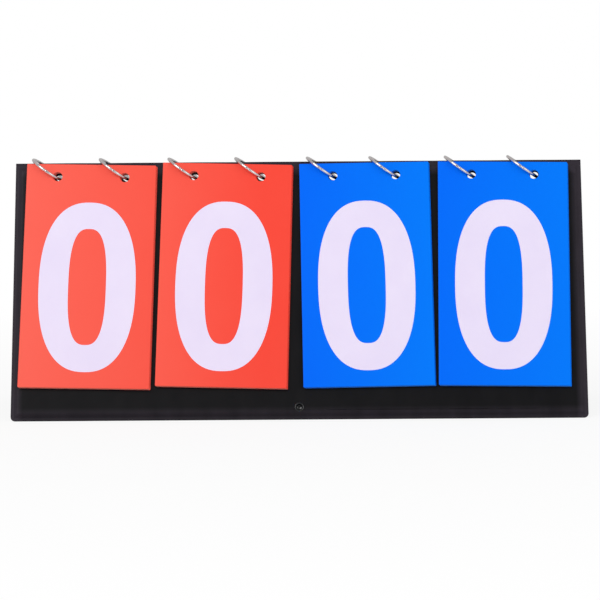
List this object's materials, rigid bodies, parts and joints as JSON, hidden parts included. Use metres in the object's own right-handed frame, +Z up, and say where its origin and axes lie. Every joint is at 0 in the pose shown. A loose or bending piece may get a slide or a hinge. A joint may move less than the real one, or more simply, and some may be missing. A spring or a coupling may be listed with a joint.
{
  "type": "tabletop flip scoreboard",
  "caption": "Folding tent-shaped tabletop scoreboard with stacks of numbered flip cards hung on rings over its top fold.",
  "frame": {"origin": "middle of the stand's footprint on the table", "axes": "+X to the right seen from the front, +Y from the front half to the back half, +Z up"},
  "size_m": [0.382, 0.1309, 0.1705],
  "materials": {
    "film": "black film, fine grain, welded rim",
    "board": "grey board",
    "red_card": "printed card, satin",
    "blue_card": "printed card, satin",
    "steel": "nickel-plated steel",
    "black_metal": "black lacquered metal"
  },
  "bodies": {
    "front_half": {"front_board": "board", "front_cover": "film", "front_lining": "film", "fold_film": "film", "strap": "film", "snap_post": "black_metal", "snap_stud": "steel", "snap_socket": "steel", "snap_cap": "steel", "red_left_card_1": "red_card", "red_left_card_2": "red_card", "red_left_card_3": "red_card", "red_left_card_4": "red_card", "red_left_card_5": "red_card", "red_left_card_6": "red_card", "red_left_card_7": "red_card", "red_left_card_8": "red_card", "red_left_card_9": "red_card", "red_right_card_1": "red_card", "red_right_card_2": "red_card", "red_right_card_3": "red_card", "red_right_card_4": "red_card", "red_right_card_5": "red_card", "red_right_card_6": "red_card", "red_right_card_7": "red_card", "red_right_card_8": "red_card", "red_right_card_9": "red_card", "blue_left_card_1": "blue_card", "blue_left_card_2": "blue_card", "blue_left_card_3": "blue_card", "blue_left_card_4": "blue_card", "blue_left_card_5": "blue_card", "blue_left_card_6": "blue_card", "blue_left_card_7": "blue_card", "blue_left_card_8": "blue_card", "blue_left_card_9": "blue_card", "blue_right_card_1": "blue_card", "blue_right_card_2": "blue_card", "blue_right_card_3": "blue_card", "blue_right_card_4": "blue_card", "blue_right_card_5": "blue_card", "blue_right_card_6": "blue_card", "blue_right_card_7": "blue_card", "blue_right_card_8": "blue_card", "blue_right_card_9": "blue_card"},
    "back_half": {"back_board": "board", "back_cover": "film", "back_lining": "film"},
    "red_left_top_card": {"red_left_card_0": "red_card"},
    "red_left_left_ring": {"red_left_ring_left": "steel"},
    "red_left_right_ring": {"red_left_ring_right": "steel"},
    "red_right_top_card": {"red_right_card_0": "red_card"},
    "red_right_left_ring": {"red_right_ring_left": "steel"},
    "red_right_right_ring": {"red_right_ring_right": "steel"},
    "blue_left_top_card": {"blue_left_card_0": "blue_card"},
    "blue_left_left_ring": {"blue_left_ring_left": "steel"},
    "blue_left_right_ring": {"blue_left_ring_right": "steel"},
    "blue_right_top_card": {"blue_right_card_0": "blue_card"},
    "blue_right_left_ring": {"blue_right_ring_left": "steel"},
    "blue_right_right_ring": {"blue_right_ring_right": "steel"}
  },
  "joints": [
    {"name": "fold", "type": "hinge", "parent": "front_half", "child": "back_half", "pos_m": [0, 0, 0.16596], "axis": [-1, 0, 0], "range_deg": [0, 39.8], "deforming": ["strap"]},
    {"name": "red_left_flip", "type": "hinge", "parent": "front_half", "child": "red_left_top_card", "pos_m": [-0.1386, 0, 0.18033], "axis": [-1, 0, 0], "range_deg": [0, 318], "deforming": ["red_left_ring_left", "red_left_ring_right"]},
    {"name": "red_left_left_ring_swing", "type": "hinge", "parent": "front_half", "child": "red_left_left_ring", "pos_m": [-0.1612, -0.00079, 0.15688], "axis": [0, 0.9989, -0.0469], "range_deg": [0, 55]},
    {"name": "red_left_right_ring_swing", "type": "hinge", "parent": "front_half", "child": "red_left_right_ring", "pos_m": [-0.116, -0.00079, 0.15688], "axis": [0, 0.9989, -0.0469], "range_deg": [0, 55]},
    {"name": "red_right_flip", "type": "hinge", "parent": "front_half", "child": "red_right_top_card", "pos_m": [-0.0469, 0, 0.18033], "axis": [-1, 0, 0], "range_deg": [0, 318], "deforming": ["red_right_ring_left", "red_right_ring_right"]},
    {"name": "red_right_left_ring_swing", "type": "hinge", "parent": "front_half", "child": "red_right_left_ring", "pos_m": [-0.0695, -0.00079, 0.15688], "axis": [0, 0.9989, -0.0469], "range_deg": [0, 55]},
    {"name": "red_right_right_ring_swing", "type": "hinge", "parent": "front_half", "child": "red_right_right_ring", "pos_m": [-0.0243, -0.00079, 0.15688], "axis": [0, 0.9989, -0.0469], "range_deg": [0, 55]},
    {"name": "blue_left_flip", "type": "hinge", "parent": "front_half", "child": "blue_left_top_card", "pos_m": [0.0453, 0, 0.18033], "axis": [-1, 0, 0], "range_deg": [0, 318], "deforming": ["blue_left_ring_left", "blue_left_ring_right"]},
    {"name": "blue_left_left_ring_swing", "type": "hinge", "parent": "front_half", "child": "blue_left_left_ring", "pos_m": [0.02415, -0.00079, 0.15688], "axis": [0, 0.9989, -0.0469], "range_deg": [0, 55]},
    {"name": "blue_left_right_ring_swing", "type": "hinge", "parent": "front_half", "child": "blue_left_right_ring", "pos_m": [0.06645, -0.00079, 0.15688], "axis": [0, 0.9989, -0.0469], "range_deg": [0, 55]},
    {"name": "blue_right_flip", "type": "hinge", "parent": "front_half", "child": "blue_right_top_card", "pos_m": [0.1386, 0, 0.18033], "axis": [-1, 0, 0], "range_deg": [0, 318], "deforming": ["blue_right_ring_left", "blue_right_ring_right"]},
    {"name": "blue_right_left_ring_swing", "type": "hinge", "parent": "front_half", "child": "blue_right_left_ring", "pos_m": [0.11745, -0.00079, 0.15688], "axis": [0, 0.9989, -0.0469], "range_deg": [0, 55]},
    {"name": "blue_right_right_ring_swing", "type": "hinge", "parent": "front_half", "child": "blue_right_right_ring", "pos_m": [0.15975, -0.00079, 0.15688], "axis": [0, 0.9989, -0.0469], "range_deg": [0, 55]}
  ],
  "couplings": [
    {"joint": "red_left_right_ring_swing", "follows": "red_left_left_ring_swing", "ratio": 1},
    {"joint": "red_right_right_ring_swing", "follows": "red_right_left_ring_swing", "ratio": 1},
    {"joint": "blue_left_right_ring_swing", "follows": "blue_left_left_ring_swing", "ratio": 1},
    {"joint": "blue_right_right_ring_swing", "follows": "blue_right_left_ring_swing", "ratio": 1}
  ]
}
